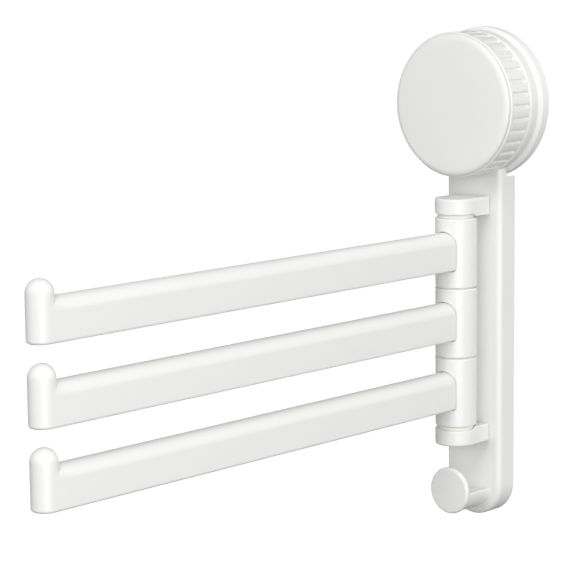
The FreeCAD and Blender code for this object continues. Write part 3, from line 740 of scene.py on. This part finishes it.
class TOWELBAR_OT_knob(Operator):
    """Fluted grip and its crowned cap"""

    bl_idname = "towelbar.knob"
    bl_label = "Knob"

    def execute(self, context):
        sizes = context.scene.towel_bar_sizes
        self.make_grip(sizes)
        self.make_cap(sizes)
        return {"FINISHED"}

    def make_grip(self, sizes):
        """One sector with a flute in its middle, copied round the axis."""
        back_out = COLLAR_OUT + GRIP_GAP
        front_out = CAP_FRONT_OUT - CAP_DEPTH - CAP_GROOVE
        back, front = back_out + 0.5 * MM, front_out - 1.6 * MM
        outer = [(GRIP_RADIUS, out) for out in [back_out + 0.3 * MM, *self.flute_rows(back, front)]]
        outline = [*outer, *self.grip_inside(back_out, front_out)]
        edge = pi * GRIP_RADIUS / sizes.flute_count
        loops = []
        for across in self.flute_columns(sizes.flute_width / 2, edge):
            angle, loop = across / GRIP_RADIUS, []
            for i, (radius, out) in enumerate(outline):
                if i < len(outer):
                    radius -= dip_at(across, out, sizes, edge, back, front)
                loop.append((radius * cos(angle), -out, radius * sin(angle)))
            loops.append(loop)
        grip = stacked("grip_moulding", loops, ends=False)
        ring_recipe().grow(grip, Count=sizes.flute_count)
        build = bmesh.new()
        build.from_mesh(grip.data)
        store_outwards(build, grip.data)
        finished(grip, "knob_grip", body="knob", sharp=50)

    def flute_rows(self, back, front):
        """Distances out of the grip's rows of points, close together at the flutes' ends."""
        ends = [step * MM for step in (-0.12, 0.04, 0.1, 0.18, 0.28, 0.4, 0.55, 0.75, 1.0, 1.3)]
        first, last = back + ends[-1], front - ends[-1]
        middle = [first + (last - first) * t for t in shares(6)[1:-1]]
        return [back + end for end in ends] + middle + [front - end for end in reversed(ends)]

    def flute_columns(self, half, edge):
        """Distances across a sector of its columns of points, close together at the flute's edges."""
        side = [half * share for share in (0.0, 0.25, 0.5, 0.7, 0.84, 0.93, 0.98, 1.02, 1.12)]
        side += [side[-1] + (edge - side[-1]) * share for share in (0.25, 0.5, 0.75, 1.0)]
        return [-across for across in reversed(side[1:])] + side

    def grip_inside(self, back_out, front_out):
        """The grip's front edge, then its inside with the web and the hub that holds the nut."""
        inner, web, bore = GRIP_RADIUS - GRIP_WALL, front_out - 2.75 * MM, 5.4 * MM
        nut_back, nut_corner = -nut_high.y, nut_high.x + 0.1 * MM
        hub, hub_back, fine = nut_corner + HUB_WALL, nut_back - HUB_WALL, 0.1 * MM
        face = rounded([
            (GRIP_RADIUS, front_out - 3 * MM), (GRIP_RADIUS, front_out, 0.7 * MM),
            (inner, front_out, 0.15 * MM), (inner, front_out - 3 * MM),
        ], steps=8)[1:-1]
        return face + [
            (inner, web), (nut_corner, web), (nut_corner, nut_back), (bore, nut_back), (bore, hub_back),
            (hub, hub_back), (hub, web - GRIP_WALL), (inner, web - GRIP_WALL),
            (inner, back_out + fine), (inner + fine, back_out),
            (GRIP_RADIUS - 3 * fine, back_out), (GRIP_RADIUS - fine, back_out + fine),
        ]

    def make_cap(self, sizes):
        """The crown runs out into a rounding that is wider than it is deep."""
        back, reach = CAP_FRONT_OUT - CAP_DEPTH, sizes.cap_reach
        radii = [(CAP_RADIUS - reach) * t for t in shares(24)[:-1]]
        radii += [CAP_RADIUS - inset for _, inset in round_over(reach, 20)]
        face = []
        for radius in radii:
            share = max(0.0, (radius - CAP_RADIUS + reach) / reach)
            drop = sizes.cap_round * (1 - sqrt(max(0.0, 1 - share ** 2)))
            face.append((radius, CAP_FRONT_OUT - sizes.cap_crown * (radius / CAP_RADIUS) ** 3 - drop))
        edge, fine = 0.25 * MM, 0.08 * MM
        spigot, spigot_back = GRIP_RADIUS - GRIP_WALL - 0.1 * MM, back - 2.4 * MM
        inside = spigot - SPIGOT_WALL
        cap = turned("cap_moulding", face + [
            (CAP_RADIUS, back + edge), (CAP_RADIUS - fine, back + fine), (CAP_RADIUS - edge, back),
            (spigot, back), (spigot, spigot_back), (inside, spigot_back), (inside, back), (0, back),
        ], steps=220)
        finished(cap, "knob_cap", body="knob", sharp=40)


# ---- ears ----


def ear_tool(name, radius, low, high, steps, face, way):
    """A round cutter on the pin's axis, between two distances into the ear from its barrel side."""
    tool = turned(name, [(0, low), (radius, low), (radius, high), (0, high)], steps, "Z")
    tool.data.transform(Matrix.Translation((0, HINGE_Y, face)) @ Matrix.Scale(way, 4, (0, 0, 1)))
    if way < 0:
        tool.data.flip_normals()
    return tool


class TOWELBAR_OT_ears(Operator):
    """Two D-shaped ears that hold the hinge pin, and the plug under the lower one"""

    bl_idname = "towelbar.ears"
    bl_label = "Ears"

    def execute(self, context):
        radius = context.scene.towel_bar_sizes.ear_round
        gap = 0.1 * MM
        self.make_ear("upper_ear", washer_high.z + gap, 1, ear_high.z, radius)
        self.make_ear("lower_ear", washer_low.z - gap, -1, EAR_FOOT, radius)
        low, high, side = plug_low.z, plug_high.z, plug_high.x
        section = rounded([(0, low), (side, low, 0.4 * MM), (side, high, 0.1 * MM), (0, high)])
        plug = turned("plug_moulding", section, steps=64, axis="Z", centre=(0, HINGE_Y, 0))
        finished(plug, "pin_plug")
        return {"FINISHED"}

    def make_ear(self, node, face, way, end, radius):
        """An ear from its barrel side, at the height face, to its far side at end. Way is 1 for up."""
        height = (end - face) * way
        ear = stacked(node + "_moulding", [
            [(x, y, face + way * up) for x, y in self.outline(BARREL_RADIUS - inset)]
            for up, inset in slab_levels(height, radius / 2, radius, 6)
        ])
        combined(ear, self.make_lip(face, way), self.make_foot(face, way, height))
        reach = PIN_TOP - face + 0.2 * MM if way > 0 else height
        tools = [ear_tool("bore", EAR_BORE, -3 * MM, reach, 48, face, way)]
        if way < 0:
            recess, deep = plug_high.x + 0.02 * MM, face - plug_high.z - 2 * MM
            tools.append(ear_tool("recess", recess, deep, height + 1 * MM, 64, face, way))
        combined(ear, *tools, operation="DIFFERENCE")
        finished(ear, node, sharp=34)

    def outline(self, half):
        """Half round at the front, straight back to the seam at the plate."""
        front = arc((0, HINGE_Y), half, -180, 0, 56)
        back, edge = -PLATE_OUT - EAR_SEAM, 0.15 * MM
        return rounded([(-half, back, edge), *front, (half, back, edge)], steps=3)

    def make_foot(self, face, way, height):
        """The part of the ear that stands on the plate, a little inside its outline."""
        inset, near, far = 2.0 * MM, -PLATE_OUT - EAR_SEAM - 1 * MM, -PLATE_OUT
        half = BARREL_RADIUS - inset
        corners = [(half, near), (half, far), (-half, far), (-half, near)]
        return stacked("foot", [
            [(x, y, face + way * up) for x, y in corners] for up in (inset, height - inset)
        ])

    def make_lip(self, face, way):
        """The part that steps towards the barrels beside the plate, in a soft S, clear of the washer."""
        edge, rise, depth, top = 0.5 * MM, 1.0 * MM, 1.3 * MM, 2.0 * MM
        start, finish, back = HINGE_Y + 0.4 * MM, HINGE_Y + 3.9 * MM, -PLATE_OUT - EAR_SEAM
        lower = [(start + (finish - start) * t, rise - (rise + depth) * ease(t)) for t in shares(14)]
        lower.append((back, -depth))
        sides = [(BARREL_RADIUS - deep, inset) for deep, inset in round_over(edge, 5)]
        loops = []
        for x, lift in [(-x, lift) for x, lift in sides] + list(reversed(sides)):
            path = [(y, up + lift) for y, up in lower] + [(back, top), (start, top)]
            loops.append([(x, y, face + way * up) for y, up in path])
        room = ear_tool("washer_room", washer_high.x + 0.5 * MM, -3 * MM, 0.02 * MM, 96, face, way)
        return combined(stacked("lip", loops), room, operation="DIFFERENCE")


# ---- swing arms ----

# Steps round the half circle on top of an arm, and round each half of its end post.
TOP_STEPS = 24


def arm_facts(name, corner):
    """One arm's section, its barrel's ends, its post's top, and how far out start, seam and post are."""
    arm_low, arm_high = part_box("arm_" + name)
    tip_low, tip_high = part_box("tip_" + name)
    barrel_low, barrel_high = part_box("knuckle_" + name)
    return SimpleNamespace(
        name=name, half=arm_high.x, foot=arm_low.z, top=arm_high.z, corner=corner,
        start_out=-arm_high.y, seam_out=-arm_low.y, post_out=-tip_low.y - arm_high.x,
        post_top=tip_high.z, barrel_foot=barrel_low.z, barrel_top=barrel_high.z,
    )


def arm_section(arm, grown=0.0):
    """The arm's section, wound from its right side over the round top and back along the flat foot."""
    half, foot, corner = arm.half + grown, arm.foot - grown, arm.corner + grown
    return [
        *arc((0, arm.top + grown - half), half, 0, 180, TOP_STEPS),
        *arc((corner - half, foot + corner), corner, 180, 270, 6),
        *arc((half - corner, foot + corner), corner, 270, 360, 6),
    ]


def off_section(point, arm):
    """The way out of the arm's section, and the distance off it, for a point seen along the arm."""
    middle, radius = Vector((0, arm.top - arm.half)), arm.half
    if point.z < middle.y:
        side, radius = arm.half - arm.corner, arm.corner
        middle = Vector((max(-side, min(side, point.x)), max(arm.foot + radius, point.z)))
    away = point.xz - middle
    return away.normalized(), away.length - radius


class TOWELBAR_OT_swing_arms(Operator):
    """Three swing arms, each a hinge barrel, a long bar and an upright end post"""

    bl_idname = "towelbar.swing_arms"
    bl_label = "Swing Arms"

    def execute(self, context):
        sizes = context.scene.towel_bar_sizes
        sweep = sweep_recipe()
        for name in ARMS:
            arm = arm_facts(name, sizes.arm_edge)
            self.make_barrel(arm, sizes.barrel_round, sizes.mouth_round)
            self.make_bar(arm, sweep)
            self.make_tip(arm)
        return {"FINISHED"}

    def make_barrel(self, arm, edge, mouth):
        """Barrel with a socket whose mouth is rounded over."""
        foot, top, bore_edge = arm.barrel_foot, arm.barrel_top, 0.2 * MM
        barrel = turned("barrel_" + arm.name, rounded([
            (BARREL_BORE, foot, bore_edge), (BARREL_RADIUS, foot, edge),
            (BARREL_RADIUS, top, edge), (BARREL_BORE, top, bore_edge),
        ]), axis="Z", centre=(0, HINGE_Y, 0))
        beyond = BARREL_RADIUS - HINGE_Y + 3 * MM
        tool = slab("socket", arm_section(arm, SOCKET_GAP + mouth), arm.start_out, beyond)
        combined(barrel, tool, operation="DIFFERENCE")
        self.round_mouth(barrel, arm, mouth)
        finished(barrel, "knuckle_" + arm.name, body=arm.name + "_arm", sharp=40)

    def round_mouth(self, barrel, arm, mouth):
        """Takes the cutter's walls out and rounds the barrel's skin into the socket."""
        build = bmesh.new()
        build.from_mesh(barrel.data)
        on_cutter = {v for v in build.verts if self.is_on_cutter(v.co, arm, SOCKET_GAP + mouth)}
        walls = [face for face in build.faces if on_cutter.issuperset(face.verts)]
        bmesh.ops.delete(build, geom=walls, context="FACES")
        middle = arm.top - arm.half
        rim = [v for v in build.verts if v.is_boundary]
        loop = sorted(rim, key=lambda v: atan2(v.co.x, v.co.z - middle))
        rows = [loop]
        for t in shares(7)[1:]:
            rows.append([build.verts.new(self.mouth_point(v.co, arm, mouth, t)) for v in loop])
        rows.append([build.verts.new((v.co.x, -arm.start_out, v.co.z)) for v in rows[-1]])
        for face in [*between(rows), rows[-1]]:
            build.faces.new(face)
        store_outwards(build, barrel.data)

    def is_on_cutter(self, point, arm, grown):
        distance = off_section(point, arm)[1]
        at_bottom = abs(point.y + arm.start_out) < 0.01 * MM
        return abs(distance - grown) < 0.03 * MM or (at_bottom and distance < grown)

    def mouth_point(self, point, arm, mouth, t):
        """A point on the curve from the barrel's skin round into the socket's wall."""
        away, distance = off_section(point, arm)
        inward = distance - SOCKET_GAP
        corner = Vector((point.x - away.x * inward, 0, point.z - away.y * inward))
        corner.y = HINGE_Y - sqrt(BARREL_RADIUS ** 2 - corner.x ** 2)
        return bent(point, corner, corner + Vector((0, mouth, 0)), t)

    def make_bar(self, arm, sweep):
        """The section lies upside down in the XY plane, and the node tree stands it up along the arm."""
        section = arm_section(arm)
        mesh = bpy.data.meshes.new("bar_" + arm.name)
        edges = [(k, (k + 1) % len(section)) for k in range(len(section))]
        mesh.from_pydata([(-x, -z, 0) for x, z in section], edges, [])
        bar = linked("bar_" + arm.name, mesh)
        sweep.grow(bar, Start=arm.start_out, End=arm.seam_out, Cuts=24)
        finished(bar, "arm_" + arm.name, body=arm.name + "_arm", sharp=40)

    def make_tip(self, arm):
        """The end of the bar runs into an upright post whose top is a dome."""
        half, foot, corner = arm.half, arm.foot, arm.corner
        post, shoulder = -arm.post_out, arm.post_top - arm.half
        points, faces = [], []

        def row(entries):
            points.extend(entries)
            return range(len(points) - len(entries), len(points))

        def ring(radius, z, turns):
            return row([(radius * cos(a), post + radius * sin(a), z) for a in turns])

        section = arm_section(arm)
        turns = [pi * t for t in shares(TOP_STEPS)]
        depths = [half * sin(turn) for turn in turns] + [0] * (len(section) - len(turns))
        start = row([(x, -arm.seam_out, z) for x, z in section])
        end = row([(x, post + depth, z) for (x, z), depth in zip(section, depths)])
        faces += [start, *between([start, end])]
        faces += between([end[:len(turns)], ring(half, shoulder, turns)], closed=False)
        front = [pi + turn for turn in turns]
        around = turns + front[1:-1]
        dome = [ring(half * cos(a), shoulder + half * sin(a), around) for a in quarter(10)]
        faces += between(dome)
        levels = [(half - deep, foot + inset) for deep, inset in round_over(corner, 6)]
        levels = [*reversed(levels), (half, arm.top - half), (half, shoulder)]
        rings = [ring(radius, z, front) for radius, z in levels]
        faces += [rings[0], *between(rings, closed=False)]
        tip = mesh_object("post_" + arm.name, points, faces)
        finished(tip, "tip_" + arm.name, body=arm.name + "_arm", sharp=36)


# ---- hook ----


class TOWELBAR_OT_hook(Operator):
    """Round disc in front of a half-round shelf with a hollow top"""

    bl_idname = "towelbar.hook"
    bl_label = "Hook"

    def execute(self, context):
        sizes = context.scene.towel_bar_sizes
        edge, crown = sizes.hook_round, 0.06 * MM
        back, front = HOOK_FRONT_OUT - HOOK_DISC, HOOK_FRONT_OUT - crown
        face = [((HOOK_RADIUS - edge) * t, HOOK_FRONT_OUT - crown * t ** 2) for t in shares(8)[:-1]]
        rim = rounded([
            (HOOK_RADIUS - 4 * MM, front), (HOOK_RADIUS, front, edge),
            (HOOK_RADIUS, back, 0.6 * MM), (0, back),
        ], steps=10)[1:]
        disc = turned("hook_moulding", face + rim, steps=140, centre=(0, 0, HOOK_MIDDLE))
        outline = [(x, HOOK_MIDDLE + z) for x, z in self.shelf_outline(sizes.hook_dip)]
        combined(disc, slab("shelf", outline, PLATE_OUT - 0.3 * MM, back + 1 * MM))
        finished(disc, "towel_hook", sharp=34)
        return {"FINISHED"}

    def shelf_outline(self, dip):
        """Half round below, with a shallow trough on top and soft corners between them."""
        side, soft = HOOK_RADIUS - 0.5 * MM, 2.0 * MM
        under = arc((0, 0), side, -175, -5, 56)
        radius = (side ** 2 + dip ** 2) / (2 * dip)
        across = [(side - soft) * (1 - 2 * t) for t in shares(40)]
        trough = [Vector((x, radius - dip - sqrt(radius ** 2 - x ** 2))) for x in across]
        steps = shares(6)[1:-1]
        right = [bent(under[-1], Vector((side, 0)), trough[0], t) for t in steps]
        left = [bent(trough[-1], Vector((-side, 0)), under[0], t) for t in steps]
        return [*under, *right, *trough, *left]


# ---- screws and metal ----


class TOWELBAR_OT_hardware(Operator):
    """Screws behind the plate, and the finishes of the pin, nut, stud and washers"""

    bl_idname = "towelbar.hardware"
    bl_label = "Hardware"

    def execute(self, context):
        self.make_screws()
        dress_node("hinge_pin", "steel")
        dress_node("knob_nut", "brass")
        dress_node("cup_stud", "moulded_white")
        # The washers get the darker nylon tone, which is painted shade for the gaps under the ears.
        for node in ("thrust_washer", "ear_washers", "slip_washers"):
            dress_node(node, "nylon")
        return {"FINISHED"}

    def make_screws(self):
        """One pan-head screw, set on the middle of each screw of the CAD model."""
        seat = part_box("plate_screws")[1].y - SCREW_HEAD
        blank = self.screw_blank()
        mesh = bpy.data.meshes.new("screws")
        mesh.from_pydata([(x, seat, z) for x, z in self.screw_spots(seat)], [], [])
        screws = linked("screws", mesh)
        spots_recipe().grow(screws, Piece=blank)
        bpy.data.objects.remove(blank)
        finished(screws, "plate_screws", slot="steel", sharp=40)

    def screw_blank(self):
        """A screw at the origin, whose head has a cross recess."""
        head, shank, tip, end = 2.9 * MM, 1.5 * MM, 0.3 * MM, 10.9 * MM
        blank = turned("screw_blank", rounded([
            (0, -SCREW_HEAD), (head, -SCREW_HEAD, 1.2 * MM), (head, 0, 0.15 * MM), (shank, 0, 0.1 * MM),
            (shank, 9.4 * MM, 0.2 * MM), (tip, end), (0, end),
        ], steps=5), steps=48)
        reach, half, top = 1.5 * MM, 0.35 * MM, SCREW_HEAD + 0.1 * MM
        slot = [(reach, half), (-reach, half), (-reach, -half), (reach, -half)]
        for turn in (20, 110):
            recess = stacked("recess", [
                [(x * share, top - deep, z * share) for x, z in slot]
                for deep, share in ((-0.2 * MM, 1.05), (1.3 * MM, 0.8))
            ])
            recess.data.transform(Matrix.Rotation(radians(turn), 4, "Y"))
            combined(blank, recess, operation="DIFFERENCE")
        return blank

    def screw_spots(self, seat):
        """The middle of each screw of the CAD model, from the points of its head."""
        widest = 6.2 * MM
        groups = []
        for point in cad_points("plate_screws", lambda p: p.y > seat + 0.1 * MM):
            for members in groups:
                if (point.xz - members[0].xz).length < widest:
                    members.append(point)
                    break
            else:
                groups.append([point])
        sides = [list(zip(*[point.xz for point in members])) for members in groups]
        return [[(min(side) + max(side)) / 2 for side in pair] for pair in sides]


# ---- stage ----


class TOWELBAR_OT_stage(Operator):
    """Pale floor, soft lights and the camera of the product view"""

    bl_idname = "towelbar.stage"
    bl_label = "Studio Stage"

    def execute(self, context):
        scene, studio = context.scene, context.scene.towel_bar_studio
        self.make_floor(scene.towel_bar_colours.floor, CAD_LOW.z - studio.floor_drop)
        scene.world = self.make_world(studio.ambient)
        self.add_light("key", 60, 3, (1.2, 1.4), studio.key_power)
        self.add_light("top", 20, 52, (0.8, 0.8), studio.top_power)
        self.add_light("back", 225, -18, (1.2, 0.8), studio.back_power)
        scene.camera = self.make_camera()
        scene.view_settings.view_transform = "Standard"
        return {"FINISHED"}

    def make_floor(self, shown, height):
        """The camera sees a white floor with the object's shadow, and from below it sees through it."""
        reach = 40.0
        corners = [(x * reach, y * reach, height) for x, y in ((-1, -1), (1, -1), (1, 1), (-1, 1))]
        floor = mesh_object("studio_floor", corners, [(0, 1, 2, 3)])
        if floor.data.polygons[0].normal.z < 0:
            floor.data.flip_normals()
        material = bpy.data.materials.new("studio_floor")
        tree = emptied(material)
        paint = tree.field("BsdfDiffuse", Color=(0.25, 0.25, 0.25, 1))
        bright = tree.field("BsdfDiffuse", Color=(*shown, 1))
        glow = tree.field("Emission", Color=(1, 1, 1, 1), Strength=0.5)
        seen = tree.field("AddShader", in_0=bright, in_1=glow)
        eye = tree.field("LightPath", "Is Camera Ray")
        above = tree.field("MixShader", in_0=eye, in_1=paint, in_2=seen)
        behind = tree.field("NewGeometry", "Backfacing") * eye
        clear = tree.field("BsdfTransparent", Color=(1, 1, 1, 1))
        mix = tree.field("MixShader", in_0=behind, in_1=above, in_2=clear)
        tree.node("OutputMaterial", Surface=mix)
        floor.data.materials.append(material)

    def make_world(self, ambient):
        """Light that grows from above to below, weaker in gloss, and white to the camera."""
        world = bpy.data.worlds.new("studio")
        tree = emptied(world)
        path = tree.node("LightPath").outputs
        seen, mirrored = [Field(tree.tree, path[name]) for name in ("Is Camera Ray", "Is Glossy Ray")]
        way = tree.field("TexCoord", "Generated")
        low_side = Vector((0.1, 0, -0.91))
        settings = {"operation": "DOT_PRODUCT"}
        toward = tree.field("VectorMath", "Value", settings, in_0=way, in_1=low_side)
        strength = ambient * (toward + 1.0) * (1.0 - mirrored * 0.6)
        strength = seen * (1.0 - strength) + strength
        glow = tree.field("Background", Color=(1, 1, 1, 1), Strength=strength)
        tree.node("OutputWorld", Surface=glow)
        return world

    def placed(self, name, data, place, *turns, back=0):
        """A lamp or camera at a place, turned by (degrees, axis) and moved back from where it looks."""
        made = linked(name, data)
        matrix = Matrix.Translation(place)
        for degrees, axis in turns:
            matrix @= Matrix.Rotation(radians(degrees), 4, axis)
        made.matrix_world = matrix @ Matrix.Translation((0, 0, back))
        return made

    def add_light(self, name, around, above, extent, watts):
        """An area light, at an angle round the object from straight in front towards the camera's side."""
        target, distance = (0, -0.17, -0.1), 1.8
        lamp = bpy.data.lights.new(name, "AREA")
        lamp.shape = "RECTANGLE"
        lamp.size, lamp.size_y = extent
        lamp.energy = watts
        light = self.placed(name, lamp, target, (around, "Z"), (90 - above, "X"), back=distance)
        light.visible_camera = False

    def make_camera(self):
        """A camera that looks from the right, a little downwards, as in the product view."""
        place, heading, down, roll = (0.74237, -0.98411, 0.08053), 42.364, 8.542, 0.607
        camera = bpy.data.cameras.new("camera")
        camera.sensor_width = 36
        camera.lens = 137.08
        camera.clip_end = 200
        return self.placed("camera", camera, place, (heading, "Z"), (90 - down, "X"), (-roll, "Z"))


# ---- panel, registration and run ----

OPERATORS = (
    TOWELBAR_OT_wall_plate,
    TOWELBAR_OT_suction_cup,
    TOWELBAR_OT_knob,
    TOWELBAR_OT_ears,
    TOWELBAR_OT_swing_arms,
    TOWELBAR_OT_hook,
    TOWELBAR_OT_hardware,
    TOWELBAR_OT_stage,
)
GROUPS = (
    ("towel_bar_sizes", TowelBarSizes),
    ("towel_bar_colours", TowelBarColours),
    ("towel_bar_studio", TowelBarStudio),
)


class TOWELBAR_PT_panel(Panel):
    """Lists the pieces of the towel bar and its sizes and colours"""

    bl_idname = "TOWELBAR_PT_panel"
    bl_label = "Swing Arm Towel Bar"
    bl_space_type = "VIEW_3D"
    bl_region_type = "UI"
    bl_category = "Towel Bar"

    def draw(self, context):
        for name, group in GROUPS:
            column = self.layout.column(align=True)
            for prop in group.__annotations__:
                column.prop(getattr(context.scene, name), prop)
        for operator in OPERATORS:
            self.layout.operator(operator.bl_idname)


CLASSES = (*[group for _, group in GROUPS], *OPERATORS, TOWELBAR_PT_panel)


def register():
    for item in CLASSES:
        bpy.utils.register_class(item)
    for name, group in GROUPS:
        setattr(Scene, name, PointerProperty(type=group))


def unregister():
    for name, _ in GROUPS:
        delattr(Scene, name)
    for item in reversed(CLASSES):
        bpy.utils.unregister_class(item)


def main():
    register()
    bpy.ops.towelbar.wall_plate()
    bpy.ops.towelbar.suction_cup()
    bpy.ops.towelbar.knob()
    bpy.ops.towelbar.ears()
    bpy.ops.towelbar.swing_arms()
    bpy.ops.towelbar.hook()
    bpy.ops.towelbar.hardware()
    bpy.ops.towelbar.stage()


if __name__ == "__main__":
    main()
